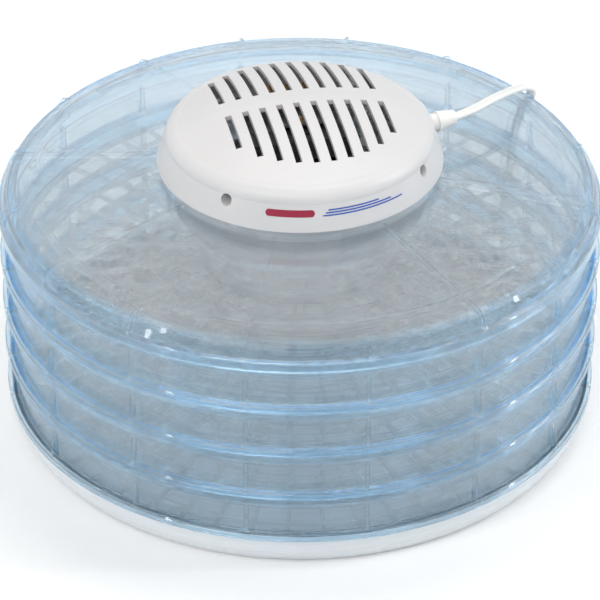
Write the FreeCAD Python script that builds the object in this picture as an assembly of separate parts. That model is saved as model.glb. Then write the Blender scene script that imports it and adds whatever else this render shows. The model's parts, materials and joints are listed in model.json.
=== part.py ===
"""Round food dehydrator: base pan, four stacking trays, lid, and a power head with its fan and heater.

Millimetres, +Z up. The origin is on the floor, on the axis of the stack. The head's front faces -Y, and
its cord leaves towards +X.
"""
import FreeCAD, Part
import math
import os

V = FreeCAD.Vector
UP = V(0, 0, 1)
ORIGIN = V(0, 0, 0)

# Stack of tiers
RIM_R = 171.5            # outside of every lip
LIP_WALL = 2.0
WALL = 1.8               # moulded clear plastic
PITCH = 28.6             # from one tray to the next
TRAY_COUNT = 4
FIRST_LIP = 19.2         # underside of the lowest tray's lip
LIP_H = 3.8
SEAT_R = 169.0           # outside of the upper wall, which stands inside the lip above
STEP_Z = 20.0            # height in a tray at which its wall steps out
TOP_EDGE = PITCH + LIP_H - WALL
PAN_DROP = 6.6           # how far a tray's floor hangs inside the tier below
RIB_COUNT = 16
RIB_T = 2.2

# Tray floor
COLLAR_R = 52.0          # air hole through the middle of each tray
COLLAR_TOP = -2.0          # the collar round it is a low bead on the floor
MESH_BAR = 2.2
MESH_R0 = 57.0
MESH_R1 = 161.5
MESH_ROWS = 7
MESH_FINE_ROWS = 4       # the outer rows, which have twice as many spokes
MESH_SPOKES = 24

# Lid
LID_LIP = 131.2
LID_SEAT = FIRST_LIP + (TRAY_COUNT - 1) * PITCH + TOP_EDGE
CONE_APEX = 164.0
CONE_SLOPE = 0.11
LID_COLLAR_R = 79.0
LID_COLLAR_TOP = 160.4
HEAD_SEAT_R = 73.0       # inside of the narrow ledge that the head rests on
DUCT_BOTTOM = 131.0
DUCT_BOTTOM_R = 75.5
RAIL_R = 152.0
RAIL_W = 4.6
RAIL_SPAN = 78.0         # degrees

# Power head
HEAD_R = 81.0
HEAD_EDGE_R = 76.0
HEAD_BOTTOM = 160.8
HEAD_EDGE_Z = 175.2
HEAD_TOP = 194.5
SHOULDER_R = 68.0        # where the rounded shoulder meets the dome
DOME_R = 213.8
CROWN_FLAT_R = 6.0       # small level disc at the very top
SEAM_TURN = -87.5        # lays the form's seam along a bar between two slots
HEAD_WALL = 2.4
CREASE_Y = 11.0
CREASE_DROP = 0.6
SLOT_W = 3.6
SLOT_PITCH = 9.7
SLOT_COUNT = 10
SLOT_SHIFT = 3.0         # the slot field sits this far towards the cord
FRONT_ROW = (-52.7, 2.5)  # radius of the row's outer ends, and the line of its inner ends
REAR_ROW = (69.0, 19.0)
DECK_Z = 160.4
DECK_T = 2.4
INLET_R = 54.0
HOUSING_R = 71.0
HOUSING_IN_R = 68.4
HOUSING_BOTTOM = 135.0
GUARD_T = 2.5
GUARD_RINGS = (10.0, 20.4, 30.8, 41.2, 51.6)   # inner radius of each row of openings
GUARD_GAP = 8.6
COVER_SCREWS = (226.0, 320.0, 50.0, 134.0)   # degrees round from +X
COVER_SCREW_Z = 172.6

# Motor and fan
SHAFT_R = 2.5
BORE_GAP = 0.05
STATOR_Z = (170.0, 182.0)
STATOR_BORE = 13.1
ROTOR_R = 12.7
MOTOR_SCREW_X = 24.0
FAN_R = 58.0
FAN_HUB_R = 9.0
FAN_Z = 152.0
BLADE_COUNT = 5

# Cord
CORD_R = 3.0
CORD_FLOOR = CORD_R + 0.2
GLAND_AT = (78.0, 5.0, 170.0)   # where the gland's axis crosses the cover's side band
GLAND_TURN = 12.0        # degrees from +X towards +Y
GLAND_LENGTH = 14.0
COIL_CENTRE = (100.0, 212.0)
COIL_R = 33.0            # middle of the turns
COIL_TURNS = 3           # side by side, in two layers
COIL_TOP = CORD_FLOOR + 2 * CORD_R   # height of the upper layer's turns
PLUG_FRONT = 38.0        # face that the blades stand out of, which faces -X
PLUG_BACK = 64.0
PLUG_Y = 258.0
PLUG_Z = 7.6
CORD_ROUTE = (
    (91.7, 7.9, 170.0),
    (105.1, 12.0, 170.8),
    (118.0, 21.5, 170.5),
    (131.9, 33.7, 168.0),
    (145.2, 47.2, 163.0),
    (155.3, 60.8, 153.0),
    (162.9, 78.6, 135.0),
    (162.5, 91.0, 108.0),
    (160.2, 98.7, 78.0),
    (157.3, 104.4, 48.0),
    (155.2, 113.1, 18.0),
    (152.1, 136.3, CORD_FLOOR),
    (146.5, 160.0, CORD_FLOOR),
    (142.8, 185.5, CORD_FLOOR),
    (141.2, 210.5, CORD_FLOOR),
)
TAIL_ROUTE = (
    (100.0, 251.0, COIL_TOP),
    (86.0, 251.6, COIL_TOP - 0.4),
    (78.0, 254.6, COIL_TOP - 1.2),
    (69.5, 258.0, PLUG_Z),
)


def tube_ring(r_out, r_in, z0, z1):
    outer = Part.makeCylinder(r_out, z1 - z0, V(0, 0, z0))
    return outer.cut(Part.makeCylinder(r_in, z1 - z0, V(0, 0, z0)))


def cylinder(x, y, z0, z1, r):
    return Part.makeCylinder(r, z1 - z0, V(x, y, z0))


def block(x0, x1, y0, y1, z0, z1):
    return Part.makeBox(x1 - x0, y1 - y0, z1 - z0, V(x0, y0, z0))


def turned(shape, degrees):
    copy = shape.copy()
    copy.rotate(ORIGIN, UP, degrees)
    return copy


def spread(shape, count, start=0.0):
    """Copies of a shape, evenly round the axis."""
    return [turned(shape, start + 360.0 * i / count) for i in range(count)]


def profile_face(points):
    """A face in the XZ plane from (radius, height) points."""
    corners = [V(r, 0, z) for r, z in points]
    return Part.Face(Part.makePolygon(corners + corners[:1]))


def revolve(points, degrees=360.0):
    return profile_face(points).revolve(ORIGIN, UP, degrees)


def upright_plate(points, thickness):
    """A plate in the XZ plane, centred on it, from (radius, height) points."""
    face = profile_face(points)
    face.translate(V(0, -thickness / 2, 0))
    return face.extrude(V(0, thickness, 0))


def fused(shapes):
    return shapes[0].multiFuse(shapes[1:]).removeSplitter()


def route_wire(points):
    """Straight runs joined by tangent arcs, each as large as its two runs allow. Returns wire and radii."""
    pts = [V(*p) for p in points]
    edges, radii, here = [], [], pts[0]
    for before, corner, after in zip(pts, pts[1:], pts[2:]):
        back = (before - corner)
        ahead = (after - corner)
        half_turn = (math.pi - back.getAngle(ahead)) / 2
        cut = 0.45 * min(back.Length, ahead.Length)
        radius = cut / math.tan(half_turn)
        start = corner + back.normalize() * cut
        end = corner + ahead.normalize() * cut
        inward = (back + ahead).normalize()
        middle = corner + inward * (radius / math.cos(half_turn) - radius)
        edges.append(Part.LineSegment(here, start).toShape())
        edges.append(Part.Arc(start, middle, end).toShape())
        radii.append(radius)
        here = end
    edges.append(Part.LineSegment(here, pts[-1]).toShape())
    return Part.Wire(edges), radii


def route_tube(points, radius):
    wire, radii = route_wire(points)
    direction = V(*points[1]) - V(*points[0])
    ring = Part.Wire(Part.makeCircle(radius, V(*points[0]), direction))
    return wire.makePipeShell([ring], True, False), radii, wire.Length


def report_tube(name, tube, radii, length, radius):
    expected = math.pi * radius ** 2 * length
    print(f"{name}: {length:.0f} mm, radii {[round(r) for r in radii]}, volume / expected "
          f"{tube.Volume / expected:.4f}")


# ---------------------------------------------------------------- trays, base and lid

def mesh_opening(r0, r1, half_angle):
    """A straight-sided opening between two spokes, whose bars keep one width."""
    bar = MESH_BAR / 2
    a0 = half_angle - math.asin(bar / r0)
    a1 = half_angle - math.asin(bar / r1)
    corners = [(r0, -a0), (r1, -a1), (r1, a1), (r0, a0)]
    return Part.makePolygon([V(r * math.cos(a), r * math.sin(a), 0) for r, a in corners + corners[:1]])


def mesh_floor(z, outer_r):
    """A disc with an air hole in the middle and rows of openings between the spokes."""
    holes = [Part.Wire(Part.makeCircle(COLLAR_R, ORIGIN))]
    pitch = (MESH_R1 - MESH_R0) / MESH_ROWS
    for row in range(MESH_ROWS):
        count = MESH_SPOKES * (2 if row >= MESH_ROWS - MESH_FINE_ROWS else 1)
        r0 = MESH_R0 + row * pitch + MESH_BAR / 2
        opening = mesh_opening(r0, r0 + pitch - MESH_BAR, math.pi / count)
        holes += spread(opening, count, 180.0 / count)
    rim = Part.Wire(Part.makeCircle(outer_r, ORIGIN))
    disc = Part.makeFace([rim] + holes, "Part::FaceMakerBullseye")
    disc.translate(V(0, 0, z))
    return disc.extrude(V(0, 0, WALL))


def wall_rib():
    plate = upright_plate([(165.8, LIP_H - 0.6), (170.6, LIP_H - 0.6), (168.4, STEP_Z + 0.4),
                           (165.8, STEP_Z + 0.4)], RIB_T)
    foot = block(168.2, 171.2, -1.9, 1.9, LIP_H - 0.6, LIP_H + 0.9)
    return plate.fuse(foot)


def tray():
    """One tray, with the underside of its lip at z = 0."""
    wall = revolve([
        (RIM_R, 0), (RIM_R, LIP_H - 0.8), (RIM_R - 0.8, LIP_H), (166.4, LIP_H), (166.7, STEP_Z),
        (SEAT_R, STEP_Z + 1), (SEAT_R, TOP_EDGE), (SEAT_R - WALL, TOP_EDGE), (SEAT_R - WALL, STEP_Z + 2),
        (164.9, STEP_Z + 1.2), (164.5, -PAN_DROP), (166.2, -PAN_DROP), (166.4, LIP_H - WALL),
        (RIM_R - LIP_WALL, LIP_H - WALL), (RIM_R - LIP_WALL, 0)])
    collar = tube_ring(COLLAR_R + WALL, COLLAR_R, -PAN_DROP, COLLAR_TOP)
    return fused([wall, mesh_floor(-PAN_DROP, 165.0), collar] + spread(wall_rib(), RIB_COUNT))


def base_pan():
    """Shallow solid pan that the lowest tray stands in, on a ring foot, with a low cone in the middle."""
    top = FIRST_LIP + LIP_H - WALL
    outer = [(162.0, 0), (164.6, 2.2), (166.8, 5.4), (168.3, 9.2), (SEAT_R, 13.0), (SEAT_R, top)]
    inner = [(SEAT_R - WALL, top), (SEAT_R - WALL, 13.2), (166.4, 9.6), (165.0, 6.2), (162.6, 4.2)]
    floor = [(60.0, 4.2), (0, 9.0), (0, 7.0), (60.0, 2.2), (156.0, 2.2), (157.0, 0)]
    return revolve(outer + inner + floor)


def cone_z(r):
    return CONE_APEX - CONE_SLOPE * r


def lid_rib(inner_r):
    """A rib on top of the lid from inner_r out over the shoulder and down to the lip."""
    rise = 1.6
    points = [(inner_r, cone_z(inner_r) - 0.6), (inner_r, cone_z(inner_r) + rise), (161.8, 147.9),
              (166.4, 146.6), (168.8, 143.2), (170.8, 138.4), (171.0, 136.6), (169.4, 136.6),
              (166.4, 141.6), (161.0, 145.2)]
    return upright_plate(points, 1.8)


def lid_rail():
    r0, r1 = RAIL_R - RAIL_W / 2, RAIL_R + RAIL_W / 2
    rail = revolve([(r0, cone_z(r0) - 0.5), (r1, cone_z(r1) - 0.5), (r1, cone_z(r1) + 2.0),
                    (r0, cone_z(r0) + 2.0)], RAIL_SPAN)
    return turned(rail, -RAIL_SPAN / 2)


def lid():
    shell = revolve([
        (DUCT_BOTTOM_R, DUCT_BOTTOM), (78.5, cone_z(78.5) - WALL), (160.5, cone_z(160.5) - WALL),
        (164.6, 142.2), (166.3, 138.0), (166.5, LID_SEAT), (RIM_R - LIP_WALL, LID_SEAT),
        (RIM_R - LIP_WALL, LID_LIP), (RIM_R, LID_LIP), (RIM_R, 136.8), (170.9, 137.4), (169.6, 138.4),
        (167.6, 142.8), (165.6, 145.2), (162.0, cone_z(162.0)), (LID_COLLAR_R, cone_z(LID_COLLAR_R)),
        (LID_COLLAR_R, LID_COLLAR_TOP), (HEAD_SEAT_R, LID_COLLAR_TOP), (HEAD_SEAT_R, LID_COLLAR_TOP - 1.6),
        (LID_COLLAR_R - 2, LID_COLLAR_TOP - 1.6), (LID_COLLAR_R - 2, 156.0),
        (DUCT_BOTTOM_R - WALL, DUCT_BOTTOM)])
    ribs = spread(lid_rib(LID_COLLAR_R - 0.5), RIB_COUNT // 2, 22.5)
    short_ribs = spread(lid_rib(160.6), RIB_COUNT // 2)
    rails = spread(lid_rail(), 4)
    lug = block(RAIL_R - 1.8, RAIL_R + 1.8, -3.5, 3.5, cone_z(RAIL_R) - 1.0, cone_z(RAIL_R) + 5.0)
    lugs = [turned(lug, -19.0), turned(lug, 165.0)]
    return fused([shell] + ribs + short_ribs + rails + lugs)


# ---------------------------------------------------------------- power head shells

def head_form(inset, drop):
    """The head's outer form as a solid, drawn in by inset, with its top lowered by drop."""
    side = [V(HEAD_R - inset, 0, HEAD_BOTTOM - (10 if inset else 0)), V(HEAD_R - inset, 0, HEAD_BOTTOM),
            V(HEAD_EDGE_R - inset, 0, HEAD_EDGE_Z - inset / 2)]
    ball_r = DOME_R - inset
    centre_z = HEAD_TOP - drop - DOME_R
    edge_end, middle, crown = [V(r, 0, centre_z + math.sqrt(ball_r ** 2 - r ** 2))
                               for r in (SHOULDER_R - inset / 3, SHOULDER_R / 2, CROWN_FLAT_R)]
    top = V(0, 0, crown.z)
    foot = V(0, 0, side[0].z)
    edges = [Part.LineSegment(a, b).toShape() for a, b in zip(side, side[1:]) if (a - b).Length > 0.01]
    edges.append(Part.Arc(side[-1], V(74.5 - inset * 0.9, 0, 179.8 - inset * 0.8 - drop), edge_end).toShape())
    edges.append(Part.Arc(edge_end, middle, crown).toShape())
    edges += [Part.LineSegment(p, q).toShape() for p, q in ((crown, top), (top, foot), (foot, side[0]))]
    form = Part.Face(Part.Wire(edges)).revolve(ORIGIN, UP, 360)
    return turned(form, SEAM_TURN)


def slot_row(end_r, inner_y):
    """Prisms for one row of slots: each starts on the line inner_y and ends on the circle end_r."""
    cuts = []
    for i in range(SLOT_COUNT):
        x = (i - (SLOT_COUNT - 1) / 2) * SLOT_PITCH
        reach = math.copysign(math.sqrt(end_r ** 2 - x ** 2), end_r)
        low, high = sorted((inner_y, reach))
        x += SLOT_SHIFT
        cuts.append(block(x - SLOT_W / 2, x + SLOT_W / 2, low, high, HEAD_BOTTOM + 4, HEAD_TOP + 5))
    return cuts


def radial_cylinder(r, r0, r1, z, degrees, y=0.0):
    return turned(Part.makeCylinder(r, r1 - r0, V(r0, y, z), V(1, 0, 0)), degrees)


def head_cover():
    """White cover: drafted side band, soft shoulder, domed top with two fields of slots either side of a crease."""
    size = 2 * HEAD_R
    rear = block(-size, size, CREASE_Y, size, 0, 300)
    outer = head_form(0, 0).cut(rear).fuse(head_form(0, CREASE_DROP).common(rear))
    bosses = [radial_cylinder(5.2, 63.5, 77.0, COVER_SCREW_Z, a) for a in COVER_SCREWS]
    shell = outer.cut(head_form(HEAD_WALL, CREASE_DROP))
    shell = shell.multiFuse([b.common(head_form(0, CREASE_DROP)) for b in bosses])
    cuts = slot_row(*FRONT_ROW) + slot_row(*REAR_ROW)
    for a in COVER_SCREWS:
        cuts.append(radial_cylinder(3.3, 67.0, 90.0, COVER_SCREW_Z, a))
        cuts.append(radial_cylinder(1.6, 60.0, 70.0, COVER_SCREW_Z, a))
    cuts.append(at_gland(Part.makeCylinder(5.2, 20, V(-10, 0, 0), V(1, 0, 0))))
    return shell.cut(Part.makeCompound(cuts))


def lower_housing():
    """Cup through the lid's collar: a deck over the fan, the fan duct, and posts for the cover screws."""
    deck_top = DECK_Z + DECK_T
    cup = revolve([
        (INLET_R, DECK_Z), (HOUSING_IN_R, DECK_Z), (HOUSING_IN_R, HOUSING_BOTTOM),
        (HOUSING_R, HOUSING_BOTTOM), (HOUSING_R, DECK_Z), (77.6, DECK_Z), (77.6, deck_top),
        (INLET_R + WALL, deck_top), (INLET_R + WALL, deck_top + 1.5), (INLET_R, deck_top + 1.5)])
    post = block(56.5, 63.0, -4, 4, deck_top - 0.5, COVER_SCREW_Z + 4.5)
    body = cup.multiFuse([turned(post, a) for a in COVER_SCREWS])
    holes = [radial_cylinder(1.3, 54.0, 66.0, COVER_SCREW_Z, a) for a in COVER_SCREWS]
    holes += spread(cylinder(69.7, 0, HOUSING_BOTTOM - 1, HOUSING_BOTTOM + 9, 1.0), 3, 30)
    holes += spread(cylinder(60.0, 0, DECK_Z - 1, deck_top + 1, 1.25), 4)
    holes += [turned(cylinder(66.8, 0, DECK_Z - 1, deck_top + 1, 1.5), a) for a in (-8, 14)]
    return body.cut(Part.makeCompound(holes))


def ring_opening(r0, r1, half_width, half_angle):
    """An opening between two rings and two spokes of the given half width."""
    a0 = half_angle - math.asin(half_width / r0)
    a1 = half_angle - math.asin(half_width / r1)
    inner, outer = [[V(r * math.cos(a * k), r * math.sin(a * k), 0) for k in (-1, 0, 1)]
                    for r, a in ((r0, a0), (r1, a1))]
    return Part.Wire([Part.Arc(*inner).toShape(), Part.LineSegment(inner[2], outer[2]).toShape(),
                      Part.Arc(*outer[::-1]).toShape(), Part.LineSegment(outer[0], inner[0]).toShape()])


def air_guard():
    """Round grille under the heater: rings and spokes that keep fingers out."""
    z0 = HOUSING_BOTTOM - GUARD_T
    cuts = spread(cylinder(69.7, 0, z0, HOUSING_BOTTOM, 1.1), 3, 30)
    for r in GUARD_RINGS:
        opening = Part.Face(ring_opening(r, r + GUARD_GAP, 1.2, math.pi / 6))
        opening.translate(V(0, 0, z0))
        cuts += spread(opening.extrude(V(0, 0, GUARD_T)), 6, 30)
    return cylinder(0, 0, z0, HOUSING_BOTTOM, HOUSING_R).cut(Part.makeCompound(cuts))


# ---------------------------------------------------------------- heater

HEATER_Z = 140.0
HEATER_RINGS = (30.0, 42.0, 54.0)


def heater_frame():
    """Crossed mica boards with round notches that carry the heating coil."""
    plates = spread(block(9.0, 62.0, -0.5, 0.5, HEATER_Z - 3.5, HEATER_Z + 3.0), 4, 45)
    hub = tube_ring(10.0, 8.0, HEATER_Z - 3.5, HEATER_Z + 3.0)
    notches = [Part.makeTorus(r, 2.3, V(0, 0, HEATER_Z)) for r in HEATER_RINGS]
    return fused([hub] + plates).cut(Part.makeCompound(notches))


def heater_coil():
    return Part.makeCompound([Part.makeTorus(r, 2.0, V(0, 0, HEATER_Z)) for r in HEATER_RINGS])


def thermostat():
    can = cylinder(0, 0, HEATER_Z - 3.8, HEATER_Z + 1.6, 7.0)
    tabs = block(-6.5, -3.5, -0.4, 0.4, HEATER_Z + 1.6, HEATER_Z + 3.6)
    return fused([can, tabs, block(3.5, 6.5, -0.4, 0.4, HEATER_Z + 1.6, HEATER_Z + 3.6)])


def thermal_fuse():
    body = Part.makeCylinder(1.9, 11.0, V(14.0, 0, HEATER_Z), V(1, 0, 0))
    return body.fuse(Part.makeCylinder(0.5, 1.5, V(25.0, 0, HEATER_Z), V(1, 0, 0)))


# ---------------------------------------------------------------- motor

def stator():
    """C-shaped stack of laminations: a round bore, a window, and the leg that carries the coil."""
    z0, z1 = STATOR_Z
    stack = block(-30, 30, -20, 36, z0, z1)
    openings = [cylinder(0, 0, z0 - 1, z1 + 1, STATOR_BORE), block(-14, 14, 18, 26, z0 - 1, z1 + 1)]
    openings += [cylinder(s * MOTOR_SCREW_X, 0, z0 - 1, z1 + 1, 1.7) for s in (-1, 1)]
    return stack.cut(Part.makeCompound(openings))


def coil_bobbin():
    """Moulded former round the stator's leg, with a flange at each end."""
    def frame_at(x0, x1, grow):
        outer = block(x0, x1, 26 - grow, 36 + grow, STATOR_Z[0] - grow, STATOR_Z[1] + grow)
        return outer.cut(block(x0, x1, 26, 36, STATOR_Z[0], STATOR_Z[1]))
    core = frame_at(-13, 13, 1.0)
    return fused([core, frame_at(-13, -11.6, 4.0), frame_at(11.6, 13, 4.0)])


def coil_winding():
    outer = block(-11.5, 11.5, 22.6, 39.4, STATOR_Z[0] - 3.4, STATOR_Z[1] + 3.4)
    return outer.cut(block(-11.5, 11.5, 25, 37, STATOR_Z[0] - 1, STATOR_Z[1] + 1))


def bearing_bridge(z_pad, side):
    """Bent steel strip that carries a bearing over the bore. side is +1 above the stator and -1 below."""
    t, lift = 1.6 * side, 4.0 * side
    pads = [block(s * 23.5 - 5.5, s * 23.5 + 5.5, -7, 7, *sorted((z_pad, z_pad + t))) for s in (-1, 1)]
    risers = [block(s * 17.2 - 0.8, s * 17.2 + 0.8, -7, 7, *sorted((z_pad, z_pad + lift))) for s in (-1, 1)]
    top = block(-18, 18, -7, 7, *sorted((z_pad + lift - t, z_pad + lift)))
    holes = [cylinder(0, 0, z_pad - 8, z_pad + 8, 4.5)]
    holes += [cylinder(s * MOTOR_SCREW_X, 0, z_pad - 8, z_pad + 8, 1.7) for s in (-1, 1)]
    return fused(pads + risers + [top]).cut(Part.makeCompound(holes))


def bush(z0, z1):
    return tube_ring(4.5, SHAFT_R + BORE_GAP, z0, z1)


def motor_spider():
    """Four-armed steel plate over the inlet that hangs the motor from the deck."""
    z0 = DECK_Z + DECK_T + 1.5
    arms = spread(block(6.5, 64.0, -5, 5, z0, z0 + 1.5), 4)
    ring = tube_ring(30.0, 7.0, z0, z0 + 1.5)
    feet = spread(block(57.0, 64.0, -5, 5, DECK_Z + DECK_T, z0), 4)
    holes = [cylinder(s * MOTOR_SCREW_X, 0, z0 - 1, z0 + 3, 1.7) for s in (-1, 1)]
    holes += spread(cylinder(60.0, 0, z0 - 3, z0 + 3, 1.7), 4)
    return fused([ring] + arms + feet).cut(Part.makeCompound(holes))


def screw(x, y, head_z, length, r, head_r, head_h):
    """Pan-head screw pointing down from the underside of its head at head_z."""
    return cylinder(x, y, head_z - length, head_z, r).fuse(cylinder(x, y, head_z, head_z + head_h, head_r))


def fan():
    """Hub with five slanted blades."""
    hub = cylinder(0, 0, FAN_Z - 6.5, FAN_Z + 6.5, FAN_HUB_R)
    blade = block(FAN_HUB_R - 3, FAN_R, -12, 12, FAN_Z - 0.7, FAN_Z + 0.7)
    blade.rotate(V(0, 0, FAN_Z), V(1, 0, 0), 26)
    wheel = fused([hub] + spread(blade, BLADE_COUNT))
    tip = cylinder(0, 0, FAN_Z - 6.5, FAN_Z + 6.5, FAN_R).common(wheel)
    return tip.cut(cylinder(0, 0, FAN_Z - 10, FAN_Z + 10, SHAFT_R))


def rotor():
    z0, z1 = STATOR_Z
    drum = cylinder(0, 0, z0 - 0.8, z1 + 0.8, ROTOR_R)
    return drum.cut(cylinder(0, 0, z0 - 2, z1 + 2, SHAFT_R))


# ---------------------------------------------------------------- cord

def at_gland(shape):
    """Moves a shape made along +X from the origin to the gland's place and direction."""
    moved = turned(shape, GLAND_TURN)
    moved.translate(V(*GLAND_AT))
    return moved


def gland():
    """Moulded strain relief: a flange inside the cover, a neck through it and a tapered sleeve outside."""
    axis = V(1, 0, 0)
    flange = Part.makeCylinder(6.4, 1.8, V(-7.6, 0, 0), axis)
    neck = Part.makeCylinder(5.0, 9.0, V(-6.0, 0, 0), axis)
    sleeve = Part.makeCone(5.9, 4.4, GLAND_LENGTH - 2.6, V(2.6, 0, 0), axis)
    return at_gland(fused([flange, neck, sleeve]))


def cord_clamp():
    """Bar that grips the cord on the deck just inside the gland."""
    z0 = DECK_Z + DECK_T
    _, y, z = GLAND_AT
    y -= 2.0
    bar = block(64.0, 69.0, y - 8.5, y + 8.5, z - 1.8, z + 4.0)
    feet = [block(64.6, 68.6, y + s * 6.5 - 2, y + s * 6.5 + 2, z0, z - 1.8) for s in (-1, 1)]
    slot = Part.makeCylinder(2.6, 8.0, V(63.0, y, z), V(1, 0, 0))
    return fused([bar] + feet).cut(slot)


def cord_coil():
    """Outer shape of the wound cord: turns side by side in two layers."""
    half = COIL_TURNS * CORD_R
    x, y = COIL_CENTRE
    ring = tube_ring(COIL_R + half, COIL_R - half, CORD_FLOOR - CORD_R, CORD_FLOOR + 3 * CORD_R)
    ring.translate(V(x, y, 0))
    return ring


def plug_body():
    """Moulded two-pin plug lying on its side, tapered back to the cord."""
    outline = [(PLUG_FRONT, -11.5), (PLUG_FRONT + 5, -11.5), (PLUG_BACK - 4, -8.0), (PLUG_BACK, -5.0),
               (PLUG_BACK, 5.0), (PLUG_BACK - 4, 8.0), (PLUG_FRONT + 5, 11.5), (PLUG_FRONT, 11.5)]
    corners = [V(x, PLUG_Y + y, PLUG_Z - 6.8) for x, y in outline]
    body = Part.Face(Part.makePolygon(corners + corners[:1])).extrude(V(0, 0, 13.6))
    sleeve = Part.makeCone(4.4, 3.6, 7.0, V(PLUG_BACK - 1, PLUG_Y, PLUG_Z), V(1, 0, 0))
    return body.fuse(sleeve)


def plug_blades():
    blades = []
    for side, height in ((-1, 7.9), (1, 6.35)):
        y = PLUG_Y + side * 6.35
        blades.append(block(PLUG_FRONT - 17.0, PLUG_FRONT, y - 0.75, y + 0.75, PLUG_Z - height / 2,
                            PLUG_Z + height / 2))
    return Part.makeCompound(blades)


# ---------------------------------------------------------------- build

def stack_nodes():
    nodes = {"base_pan": base_pan(), "lid": lid()}
    pattern = tray()
    for i in range(TRAY_COUNT):
        copy = pattern.copy()
        copy.translate(V(0, 0, FIRST_LIP + i * PITCH))
        nodes[f"tray_{TRAY_COUNT - i}"] = copy
    return nodes


def head_nodes():
    low, high = STATOR_Z
    spider_top = DECK_Z + DECK_T + 3.0
    spacer = cylinder(MOTOR_SCREW_X, 0, spider_top, low - 1.6, 4.0).cut(
        cylinder(MOTOR_SCREW_X, 0, spider_top - 1, low, 1.7))
    motor_screw = screw(MOTOR_SCREW_X, 0, high + 1.6, high + 1.6 - DECK_Z, 1.5, 3.0, 1.8)
    deck_screw = screw(60.0, 0, spider_top, 4.5, 1.2, 2.6, 1.6)
    guard_screw = screw(69.7, 0, 0, 9.0, 0.95, 1.25, 1.6)
    guard_screw.rotate(ORIGIN, V(1, 0, 0), 180)
    guard_screw.translate(V(0, 0, HOUSING_BOTTOM - 2.5))
    cover_screws = [radial_cylinder(1.25, 57.5, 67.0, COVER_SCREW_Z, a).fuse(
        radial_cylinder(2.9, 67.0, 69.0, COVER_SCREW_Z, a)) for a in COVER_SCREWS]
    return {
        "head_cover": head_cover(),
        "lower_housing": lower_housing(),
        "air_guard": air_guard(),
        "heat_shield": tube_ring(65.2, 64.6, HEATER_Z, DECK_Z - 2.0),
        "heater_frame": heater_frame(),
        "heater_coil": heater_coil(),
        "thermostat": thermostat(),
        "thermal_fuse": thermal_fuse(),
        "stator": stator(),
        "coil_bobbin": coil_bobbin(),
        "coil_winding": coil_winding(),
        "upper_bridge": bearing_bridge(high, 1),
        "lower_bridge": bearing_bridge(low, -1),
        "upper_bush": bush(high + 2.2, high + 5.6),
        "lower_bush": bush(low - 5.6, low - 2.2),
        "motor_spider": motor_spider(),
        "motor_spacers": Part.makeCompound(spread(spacer, 2)),
        "motor_screws": Part.makeCompound(spread(motor_screw, 2)),
        "spider_screws": Part.makeCompound(spread(deck_screw, 4)),
        "guard_screws": Part.makeCompound(spread(guard_screw, 3, 30)),
        "cover_screws": Part.makeCompound(cover_screws),
        "strain_relief": gland(),
        "cord_clamp": cord_clamp(),
    }


def fan_nodes():
    return {
        "fan": fan(),
        "rotor": rotor(),
        "motor_shaft": cylinder(0, 0, FAN_Z - 7.5, STATOR_Z[1] + 6.0, SHAFT_R),
        "fan_clip": tube_ring(5.0, SHAFT_R, FAN_Z - 7.5, FAN_Z - 6.5),
    }


def lead_nodes():
    """Insulated leads inside the head, and the two crimped splices that join them to the cord."""
    routes = {
        "live_lead": ((69.8, 1.9, 169.3), (61.5, 3.4, 169.2), (52.0, 12.0, 169.6), (44.0, 20.5, 170.5)),
        "neutral_lead": ((69.8, 3.5, 170.7), (61.5, 4.2, 171.1), (53.0, 15.0, 172.6), (45.0, 26.0, 174.5)),
        "motor_lead_a": ((36.5, 27.0, 171.5), (31.0, 35.0, 169.0), (22.5, 39.0, 168.0), (13.2, 39.0, 168.5)),
        "motor_lead_b": ((36.5, 31.0, 178.0), (31.5, 38.0, 179.5), (22.5, 41.0, 178.5), (13.2, 39.0, 177.0)),
    }
    nodes = {}
    for name, points in routes.items():
        tube, radii, length = route_tube(points, 1.0)
        report_tube(name, tube, radii, length, 1.0)
        nodes[name] = tube
    splice_ends = (((44.0, 20.5, 170.5), (36.5, 27.0, 171.5)), ((45.0, 26.0, 174.5), (36.5, 31.0, 178.0)))
    splices = []
    for a, b in splice_ends:
        along = V(*b) - V(*a)
        splices.append(Part.makeCylinder(1.9, along.Length, V(*a), along))
    nodes["splices"] = Part.makeCompound(splices)
    return nodes


def cord_nodes():
    nodes = {}
    for name, points in (("power_cord", CORD_ROUTE), ("cord_tail", TAIL_ROUTE)):
        tube, radii, length = route_tube(points, CORD_R)
        report_tube(name, tube, radii, length, CORD_R)
        nodes[name] = tube
    nodes["cord_coil"] = cord_coil()
    nodes["plug_body"] = plug_body()
    nodes["plug_blades"] = plug_blades()
    return nodes


def main():
    os.makedirs("parts", exist_ok=True)
    nodes = {}
    for made in (stack_nodes, head_nodes, fan_nodes, lead_nodes, cord_nodes):
        nodes.update(made())
    for name, shape in nodes.items():
        solids = shape.Solids
        box = shape.BoundBox
        print(f"{name:16s} solids {len(solids)} valid {shape.isValid()} "
              f"size {box.XLength:.1f} x {box.YLength:.1f} x {box.ZLength:.1f}")
        shape.exportStep(f"parts/{name}.step")


main()
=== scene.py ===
"""Looks for the round food dehydrator: camera, cord, materials, printed mark and light."""

import json
import math

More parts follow.
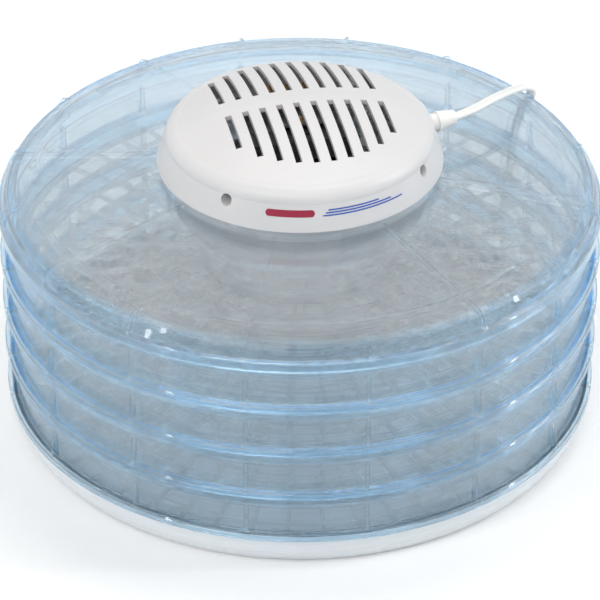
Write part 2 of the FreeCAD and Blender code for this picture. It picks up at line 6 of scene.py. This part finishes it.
import bpy
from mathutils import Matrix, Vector


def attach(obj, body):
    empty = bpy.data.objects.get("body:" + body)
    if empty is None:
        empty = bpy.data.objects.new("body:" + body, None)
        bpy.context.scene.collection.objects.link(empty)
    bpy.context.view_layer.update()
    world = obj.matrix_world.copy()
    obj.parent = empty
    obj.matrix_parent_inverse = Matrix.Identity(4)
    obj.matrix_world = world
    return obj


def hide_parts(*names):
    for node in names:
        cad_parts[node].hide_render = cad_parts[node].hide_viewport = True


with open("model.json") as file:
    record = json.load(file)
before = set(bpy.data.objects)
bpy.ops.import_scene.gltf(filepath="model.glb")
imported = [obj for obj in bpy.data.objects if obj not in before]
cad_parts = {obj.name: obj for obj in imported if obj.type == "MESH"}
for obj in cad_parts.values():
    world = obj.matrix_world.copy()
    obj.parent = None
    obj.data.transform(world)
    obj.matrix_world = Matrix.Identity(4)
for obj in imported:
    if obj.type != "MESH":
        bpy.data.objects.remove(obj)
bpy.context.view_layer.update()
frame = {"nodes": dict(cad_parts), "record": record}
NODES = frame["nodes"]
SCENE = bpy.context.scene

# ---------------------------------------------------------------- camera

VIEW_AZIMUTH = -12.5
VIEW_ELEVATION = 33.79
VIEW_DISTANCE = 1.8
VIEW_TARGET = Vector((0.0, 0.0, 0.063))
LENS = 185.64


def make_camera():
    a, e = math.radians(VIEW_AZIMUTH), math.radians(VIEW_ELEVATION)
    back = Vector((math.sin(a) * math.cos(e), -math.cos(a) * math.cos(e), math.sin(e)))
    data = bpy.data.cameras.new("camera")
    data.lens = LENS
    data.sensor_width = 36.0
    data.clip_start = 0.05
    data.clip_end = 50.0
    camera = bpy.data.objects.new("camera", data)
    SCENE.collection.objects.link(camera)
    camera.location = VIEW_TARGET + back * VIEW_DISTANCE
    camera.rotation_mode = "QUATERNION"
    camera.rotation_quaternion = (-back).to_track_quat("-Z", "Y")
    SCENE.camera = camera


# ---------------------------------------------------------------- cord

CORD_WIDTH = 0.006
CORD_THICK = 0.0031
CORD_FLOOR = 0.0032
POINT_RADIUS = 0.01     # the curve's bounding box reaches this far past its points
COIL_CENTRE = (0.100, 0.212)
COIL_RADII = (0.039, 0.033, 0.027)
COIL_TOP = 0.0092
GLAND_END = (0.0917, 0.0079, 0.170)
ROUTE = (
    GLAND_END,
    (0.1046, 0.0124, 0.1706),
    (0.1172, 0.0232, 0.1694),
    (0.1306, 0.0353, 0.1660),
    (0.1423, 0.0478, 0.1608),
    (0.1500, 0.0569, 0.1550),
    (0.1556, 0.0655, 0.1475),
    (0.1580, 0.0780, 0.1340),
    (0.1562, 0.0904, 0.1180),
    (0.1556, 0.0956, 0.0950),
    (0.1545, 0.1000, 0.0650),
    (0.1533, 0.1043, 0.0380),
    (0.1534, 0.1145, 0.0140),
    (0.1521, 0.1363, CORD_FLOOR),
    (0.1465, 0.1600, CORD_FLOOR),
    (0.1428, 0.1855, CORD_FLOOR),
)
COIL_TURNS = 5.25
LOW_TURNS = 2.6          # turns that lie on the floor, under the others
TAIL = (
    (0.0860, 0.2516, 0.0088),
    (0.0780, 0.2546, 0.0080),
    (0.0695, 0.2580, 0.0076),
)
POINTS_PER_TURN = 16


def eased(t):
    return t * t * (3 - 2 * t)


def coil_points():
    """The wound length: inwards over the floor, up a layer at the inside, and outwards again on top."""
    outer, middle, inner = COIL_RADII
    count = round(COIL_TURNS * POINTS_PER_TURN)
    points = []
    for i in range(count + 1):
        turn = i / POINTS_PER_TURN
        if turn < LOW_TURNS:
            radius = outer + 0.0015 - (outer + 0.0015 - inner) * eased(turn / LOW_TURNS)
        else:
            radius = inner + (outer - inner) * eased((turn - LOW_TURNS) / (COIL_TURNS - LOW_TURNS))
        climb = min(1.0, max(0.0, (turn - LOW_TURNS + 0.35) / 0.7))
        z = CORD_FLOOR + (COIL_TOP - CORD_FLOOR) * eased(climb)
        angle = 2 * math.pi * turn
        points.append((COIL_CENTRE[0] + radius * math.cos(angle), COIL_CENTRE[1] + radius * math.sin(angle), z))
    return points


def cord_profile():
    """Cross-section of flat two-core cord: two round cores joined by a thinner web."""
    r = CORD_THICK / 2
    centre = CORD_WIDTH / 2 - r
    web = r * 0.70
    outline = []
    steps = 12
    for i in range(steps + 1):
        angle = -math.pi / 2 + math.pi * i / steps
        x, y = centre + r * math.cos(angle), r * math.sin(angle)
        outline.append((x, y))
    for x in (centre * 0.45, centre * 0.15):
        outline.append((x, max(web, math.sqrt(max(0.0, r * r - (x - centre) ** 2)))))
    left = [(-x, -y) for x, y in outline]
    curve = bpy.data.curves.new("cord_profile", "CURVE")
    curve.dimensions = "2D"
    spline = curve.splines.new("POLY")
    points = outline + left
    spline.points.add(len(points) - 1)
    for p, (x, y) in zip(spline.points, points):
        p.co = (x / POINT_RADIUS, y / POINT_RADIUS, 0, 1)
    spline.use_cyclic_u = True
    return bpy.data.objects.new("cord_profile", curve)


def make_cord():
    points = list(ROUTE) + coil_points() + list(TAIL)
    curve = bpy.data.curves.new("flat_cord", "CURVE")
    curve.dimensions = "3D"
    curve.twist_mode = "Z_UP"
    curve.resolution_u = 8
    spline = curve.splines.new("NURBS")
    spline.points.add(len(points) - 1)
    for p, co in zip(spline.points, points):
        p.co = (*co, 1)
        p.radius = POINT_RADIUS
    spline.order_u = 3
    spline.use_endpoint_u = True
    spline.use_smooth = True
    curve.bevel_mode = "OBJECT"
    curve.bevel_object = cord_profile()
    curve.use_fill_caps = True
    cord = bpy.data.objects.new("flat_cord", curve)
    SCENE.collection.objects.link(cord)
    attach(cord, "power_head")
    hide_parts("power_cord", "cord_tail", "cord_coil")
    return cord


# ---------------------------------------------------------------- materials

class Look:
    """A node material under construction, with short ways to add the few nodes used here."""

    def __init__(self, name, color, roughness, metallic=0.0):
        self.material = bpy.data.materials.new(name)
        self.material.use_nodes = True
        self.tree = self.material.node_tree
        self.shader = self.tree.nodes["Principled BSDF"]
        self.shader.inputs["Base Color"].default_value = (*color, 1)
        self.shader.inputs["Roughness"].default_value = roughness
        self.shader.inputs["Metallic"].default_value = metallic
        self.coords = self.tree.nodes.new("ShaderNodeTexCoord")
        self.color = color
        self.normal = None

    def add(self, kind, **values):
        node = self.tree.nodes.new(kind)
        for key, value in values.items():
            if key in node.inputs:
                node.inputs[key].default_value = value
            else:
                setattr(node, key, value)
        return node

    def link(self, a, b):
        self.tree.links.new(a, b)

    def noise(self, scale, detail=2.0, stretch=(1, 1, 1)):
        mapping = self.add("ShaderNodeMapping")
        mapping.inputs["Scale"].default_value = stretch
        self.link(self.coords.outputs["Object"], mapping.inputs["Vector"])
        noise = self.add("ShaderNodeTexNoise", Scale=scale, Detail=detail)
        self.link(mapping.outputs["Vector"], noise.inputs["Vector"])
        return noise.outputs["Fac"]

    def ramp(self, source, low, high, start=0.3, end=0.7):
        ramp = self.add("ShaderNodeValToRGB")
        ramp.color_ramp.elements[0].position = start
        ramp.color_ramp.elements[1].position = end
        ramp.color_ramp.elements[0].color = (*low, 1)
        ramp.color_ramp.elements[1].color = (*high, 1)
        self.link(source, ramp.inputs["Fac"])
        return ramp.outputs["Color"]

    def vary_color(self, source, amount):
        low = [c * (1 - amount) for c in self.color]
        high = [min(1, c * (1 + amount)) for c in self.color]
        self.link(self.ramp(source, low, high), self.shader.inputs["Base Color"])
        return self

    def vary_roughness(self, source, low, high):
        span = self.add("ShaderNodeMapRange")
        span.inputs["To Min"].default_value = low
        span.inputs["To Max"].default_value = high
        self.link(source, span.inputs["Value"])
        self.link(span.outputs["Result"], self.shader.inputs["Roughness"])
        return self

    def bevel(self, radius, samples=6):
        node = self.add("ShaderNodeBevel", samples=samples, Radius=radius)
        self._set_normal(node.outputs["Normal"])
        return self

    def bump(self, source, distance, strength=0.5):
        node = self.add("ShaderNodeBump", Distance=distance, Strength=strength)
        self.link(source, node.inputs["Height"])
        if self.normal:
            self.link(self.normal, node.inputs["Normal"])
        self._set_normal(node.outputs["Normal"])
        return self

    def _set_normal(self, output):
        self.normal = output
        self.link(output, self.shader.inputs["Normal"])


def moulded(name, color, roughness=0.4, grain=1400, depth=0.00006, bevel=0.0004):
    """Satin moulded plastic: fine spark-eroded grain, faint mottling and softened edges."""
    look = Look(name, color, roughness)
    look.bevel(bevel)
    look.bump(look.noise(grain, 3), depth, 0.35)
    look.vary_color(look.noise(26, 3), 0.02)
    look.vary_roughness(look.noise(90, 3), roughness - 0.06, roughness + 0.08)
    return look.material


def metal(name, color, roughness=0.3, stretch=(1, 1, 40), scale=60, depth=0.00003):
    """Brushed or plated metal: stretched scratches in the roughness and bump."""
    look = Look(name, color, roughness, metallic=1.0)
    look.bevel(0.00025)
    scratches = look.noise(scale, 4, stretch)
    look.bump(scratches, depth, 0.4)
    look.vary_color(look.noise(45, 3), 0.10)
    look.vary_roughness(scratches, roughness - 0.1, roughness + 0.15)
    return look.material


# Painted reflection: sky blue in the walls' and lips' colour stands in for blue light reflected from behind.
WALL_PAINTED_BLUE_REFLECTION = (0.64, 0.85, 1.0)
WALL_ALPHA = 0.78
WALL_ROUGHNESS = 0.025
INNER_END_R = 0.159       # the inner finish ends here; the wall's alpha and roughness are complete by the next radius, and its painted blue reflection by the one after
WALL_FINISH_R = 0.164
PAINTED_REFLECTION_FULL_R = 0.166


def clear_plastic(name, inner_color, inner_alpha, inner_roughness):
    """Clear moulded styrene with slightly wavy faces and faint wear. Walls and lips carry a painted sky-blue
    reflection of blue backlight in their colour.
    The three inner values are for what lies inside the walls: the lid's top, or a tray's mesh floor."""
    look = Look(name, inner_color, inner_roughness)
    s = look.shader.inputs
    s["Transmission Weight"].default_value = 1.0
    s["IOR"].default_value = 1.44
    flatten = look.add("ShaderNodeVectorMath", operation="MULTIPLY")
    flatten.inputs[1].default_value = (1, 1, 0)
    look.link(look.coords.outputs["Object"], flatten.inputs[0])
    radius = look.add("ShaderNodeVectorMath", operation="LENGTH")
    look.link(flatten.outputs["Vector"], radius.inputs[0])
    across = radius.outputs["Value"]
    # Painted reflection: the base colour turns sky blue towards the walls and lips, standing in for blue
    # backlight.
    look.link(look.ramp(across, inner_color, WALL_PAINTED_BLUE_REFLECTION, INNER_END_R, PAINTED_REFLECTION_FULL_R), s["Base Color"])
    look.link(look.ramp(across, (inner_alpha,) * 3, (WALL_ALPHA,) * 3, INNER_END_R, WALL_FINISH_R), s["Alpha"])
    worn = look.add("ShaderNodeMapRange")
    worn.inputs["To Min"].default_value = 0.7
    worn.inputs["To Max"].default_value = 1.3
    look.link(look.noise(160, 4), worn.inputs["Value"])
    rough = look.ramp(across, (inner_roughness,) * 3, (WALL_ROUGHNESS,) * 3, INNER_END_R, WALL_FINISH_R)
    product = look.add("ShaderNodeMath", operation="MULTIPLY")
    look.link(rough, product.inputs[0])
    look.link(worn.outputs["Result"], product.inputs[1])
    look.link(product.outputs["Value"], s["Roughness"])
    look.bump(look.noise(38, 2), 0.00025, 0.10)
    return look.material


def milky_plastic():
    """Translucent white pan."""
    look = Look("milky_plastic", (0.94, 0.97, 1.0), 0.2)
    s = look.shader.inputs
    s["Transmission Weight"].default_value = 0.35
    s["IOR"].default_value = 1.5
    look.bump(look.noise(60, 2), 0.0002, 0.10)
    look.vary_roughness(look.noise(120, 4), 0.16, 0.3)
    look.vary_color(look.noise(14, 2), 0.02)
    return look.material


def laminations(name):
    """Stacked thin sheets: fine level lines down the sides."""
    # The dark grey is partly the steel's own colour and partly painted shade, so the head's slots read dark.
    look = Look(name, (0.13, 0.13, 0.14), 0.45, metallic=0.9)
    wave = look.add("ShaderNodeTexWave", Scale=320.0, Distortion=0.4, bands_direction="Z")
    look.link(look.coords.outputs["Object"], wave.inputs["Vector"])
    look.bump(wave.outputs["Fac"], 0.0002, 0.8)
    look.vary_color(wave.outputs["Fac"], 0.25)
    look.vary_roughness(look.noise(80, 4), 0.35, 0.6)
    return look.material


def winding():
    """Insulating tape with the ridges of the wire showing through."""
    # The dark brown is partly the tape's own colour and partly painted shade, so the head's slots read dark.
    look = Look("winding_tape", (0.16, 0.09, 0.035), 0.35)
    wave = look.add("ShaderNodeTexWave", Scale=210.0, Distortion=0.6, bands_direction="X")
    look.link(look.coords.outputs["Object"], wave.inputs["Vector"])
    look.bump(wave.outputs["Fac"], 0.00025, 0.6)
    look.vary_color(look.noise(70, 3), 0.12)
    return look.material


def mica():
    """Flaky pressed mica."""
    look = Look("mica_board", (0.70, 0.63, 0.48), 0.5)
    flakes = look.add("ShaderNodeTexVoronoi", Scale=260.0)
    look.link(look.coords.outputs["Object"], flakes.inputs["Vector"])
    look.bump(flakes.outputs["Distance"], 0.0001, 0.4)
    look.vary_color(flakes.outputs["Distance"], 0.18)
    look.vary_roughness(look.noise(200, 3), 0.35, 0.65)
    return look.material


def heating_wire():
    """Oxidised resistance wire, rough and uneven in colour."""
    look = Look("heating_wire", (0.40, 0.37, 0.35), 0.45, metallic=1.0)
    look.bump(look.noise(700, 2), 0.0003, 0.9)
    look.vary_color(look.noise(300, 3), 0.3)
    return look.material


def vinyl():
    """Soft white vinyl of the cord and plug."""
    look = Look("soft_vinyl", (0.84, 0.83, 0.80), 0.34)
    look.bump(look.noise(500, 3), 0.00008, 0.3)
    look.vary_color(look.noise(40, 3), 0.03)
    look.vary_roughness(look.noise(130, 3), 0.28, 0.42)
    return look.material


def make_materials():
    return {
        "white_shell": moulded("white_shell", (0.66, 0.645, 0.64), 0.36, depth=0.00011),
        "clear_plastic": clear_plastic("clear_plastic", (0.985, 0.995, 1.0), 0.45, 0.02),
        "clear_tray": clear_plastic("clear_tray", (0.99, 0.995, 1.0), 0.42, 0.12),
        "pan_white": milky_plastic(),
        "white_fan": moulded("white_fan", (0.80, 0.80, 0.77), 0.42),
        "lamination_steel": laminations("lamination_steel"),
        "zinc_steel": metal("zinc_steel", (0.66, 0.67, 0.69), 0.3),
        "bearing_bronze": metal("bearing_bronze", (0.60, 0.40, 0.22), 0.42, (1, 1, 1), 500),
        "bobbin_nylon": moulded("bobbin_nylon", (0.80, 0.77, 0.68), 0.45),
        "winding_tape": winding(),
        "mica_board": mica(),
        "heating_wire": heating_wire(),
        "thermostat_metal": metal("thermostat_metal", (0.70, 0.70, 0.72), 0.35),
        "fuse_metal": metal("fuse_metal", (0.76, 0.66, 0.42), 0.35),
        "cord_white": vinyl(),
        "blade_metal": metal("blade_metal", (0.78, 0.75, 0.66), 0.22),
        "lead_white": moulded("lead_white", (0.82, 0.82, 0.78), 0.4, bevel=0.0001),
        "splice_nylon": moulded("splice_nylon", (0.74, 0.77, 0.80), 0.4),
    }


def dress(materials):
    """Gives every CAD node the material of its slot in the record."""
    for part in frame["record"]["subparts"]:
        node = NODES[part["node"]]
        material = materials[part["material_slot"]]
        if part["node"].startswith("tray"):
            material = materials["clear_tray"]
        if not node.data.materials:
            node.data.materials.append(material)
        for slot in node.material_slots:
            slot.material = material


# ---------------------------------------------------------------- printed mark

BAND_LOW = (0.0810, 0.1608)      # radius and height of the side band's lower and upper edges
BAND_HIGH = (0.0760, 0.1752)
INK_LIFT = 0.00006
MARK_Z = 0.1690


def band_point(angle, z):
    """A point just off the head's side band. The angle is from the front, towards the cord, in degrees."""
    t = (z - BAND_LOW[1]) / (BAND_HIGH[1] - BAND_LOW[1])
    r = BAND_LOW[0] + (BAND_HIGH[0] - BAND_LOW[0]) * t + INK_LIFT
    a = math.radians(angle)
    return (r * math.sin(a), -r * math.cos(a), z)


def printed_stripe(name, start, end, low, high, material):
    """A rounded stripe of ink on the band, made of narrow strips across it."""
    half = (high - low) / 2
    middle = (high + low) / 2
    round_off = math.degrees(half / BAND_LOW[0])
    verts, faces = [], []
    steps = 60
    for i in range(steps + 1):
        angle = start + (end - start) * i / steps
        inset = max(0.0, 1 - min(angle - start, end - angle) / round_off)
        reach = half * math.sqrt(max(0.02, 1 - inset * inset))
        verts += [band_point(angle, middle - reach), band_point(angle, middle + reach)]
    for i in range(steps):
        faces.append((2 * i, 2 * i + 2, 2 * i + 3, 2 * i + 1))
    mesh = bpy.data.meshes.new(name)
    mesh.from_pydata(verts, [], faces)
    mesh.materials.append(material)
    stripe = bpy.data.objects.new(name, mesh)
    SCENE.collection.objects.link(stripe)
    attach(stripe, "power_head")


def ink(name, color):
    look = Look(name, color, 0.45)
    look.vary_color(look.noise(900, 2), 0.06)
    look.bump(look.noise(1400, 3), 0.00004, 0.3)
    return look.material


def make_mark():
    """Plain stripes where the maker's printing would be."""
    red = ink("red_ink", (0.33, 0.012, 0.045))
    blue = ink("blue_ink", (0.03, 0.10, 0.42))
    printed_stripe("mark_red", -26.5, -6.5, MARK_Z, MARK_Z + 0.0038, red)
    for i in range(3):
        z = MARK_Z + i * 0.0014
        printed_stripe(f"mark_blue_{i}", -3.5 + i * 1.2, 33.5 - i * 6.0, z, z + 0.0008, blue)


# ---------------------------------------------------------------- floor and light

FLOOR_HALF = 8.0


def make_floor():
    mesh = bpy.data.meshes.new("floor")
    s = FLOOR_HALF
    mesh.from_pydata([(-s, -s, 0), (s, -s, 0), (s, s, 0), (-s, s, 0)], [], [(0, 1, 2, 3)])
    floor = bpy.data.objects.new("floor", mesh)
    SCENE.collection.objects.link(floor)
    look = Look("floor_paper", (0.98, 0.98, 0.98), 0.7)
    look.vary_roughness(look.noise(8, 2), 0.65, 0.8)
    mesh.materials.append(look.material)


def area_light(name, location, target, size, power, color):
    data = bpy.data.lights.new(name, "AREA")
    data.shape = "RECTANGLE"
    data.size, data.size_y = size
    data.energy = power
    data.color = color
    light = bpy.data.objects.new(name, data)
    SCENE.collection.objects.link(light)
    light.location = location
    light.rotation_mode = "QUATERNION"
    light.rotation_quaternion = (Vector(target) - Vector(location)).to_track_quat("-Z", "Y")


def make_light():
    world = bpy.data.worlds.new("studio")
    SCENE.world = world
    world.use_nodes = True
    tree = world.node_tree
    background = tree.nodes["Background"]
    coords = tree.nodes.new("ShaderNodeTexCoord")
    split = tree.nodes.new("ShaderNodeSeparateXYZ")
    ramp = tree.nodes.new("ShaderNodeValToRGB")
    ramp.color_ramp.elements[0].position = 0.0
    ramp.color_ramp.elements[0].color = (0.55, 0.80, 1.0, 1)
    ramp.color_ramp.elements[1].position = 0.35
    ramp.color_ramp.elements[1].color = (1.0, 1.0, 1.0, 1)
    tree.links.new(coords.outputs["Generated"], split.inputs["Vector"])
    tree.links.new(split.outputs["Z"], ramp.inputs["Fac"])
    tree.links.new(ramp.outputs["Color"], background.inputs["Color"])
    background.inputs["Strength"].default_value = 0.72
    area_light("key_light", (-0.9, -1.3, 1.7), (0, 0, 0.08), (1.0, 1.0), 10.0, (1.0, 0.985, 0.96))
    area_light("top_light", (0.2, 0.5, 1.9), (0, 0, 0.1), (1.4, 1.0), 9.0, (1.0, 1.0, 1.0))
    area_light("left_strip", (-1.5, -0.7, 0.9), (0, 0, 0.08), (0.06, 1.5), 5.0, (1.0, 1.0, 1.0))
    area_light("right_strip", (1.5, -0.5, 1.0), (0, 0, 0.08), (0.06, 1.5), 5.0, (1.0, 1.0, 1.0))
    area_light("side_light", (1.6, -0.3, 0.9), (0, 0, 0.08), (0.5, 1.2), 5.0, (0.90, 0.95, 1.0))


def set_light_paths():
    """Five tiers of clear walls, seen through one another, need long light paths."""
    SCENE.cycles.max_bounces = 40
    SCENE.cycles.transmission_bounces = 36
    SCENE.cycles.glossy_bounces = 12
    SCENE.cycles.transparent_max_bounces = 96
    SCENE.view_settings.view_transform = "Standard"


# ---------------------------------------------------------------- making

make_camera()
cord = make_cord()
MATERIALS = make_materials()
dress(MATERIALS)
cord.data.materials.append(MATERIALS["cord_white"])
make_mark()
make_floor()
make_light()
set_light_paths()
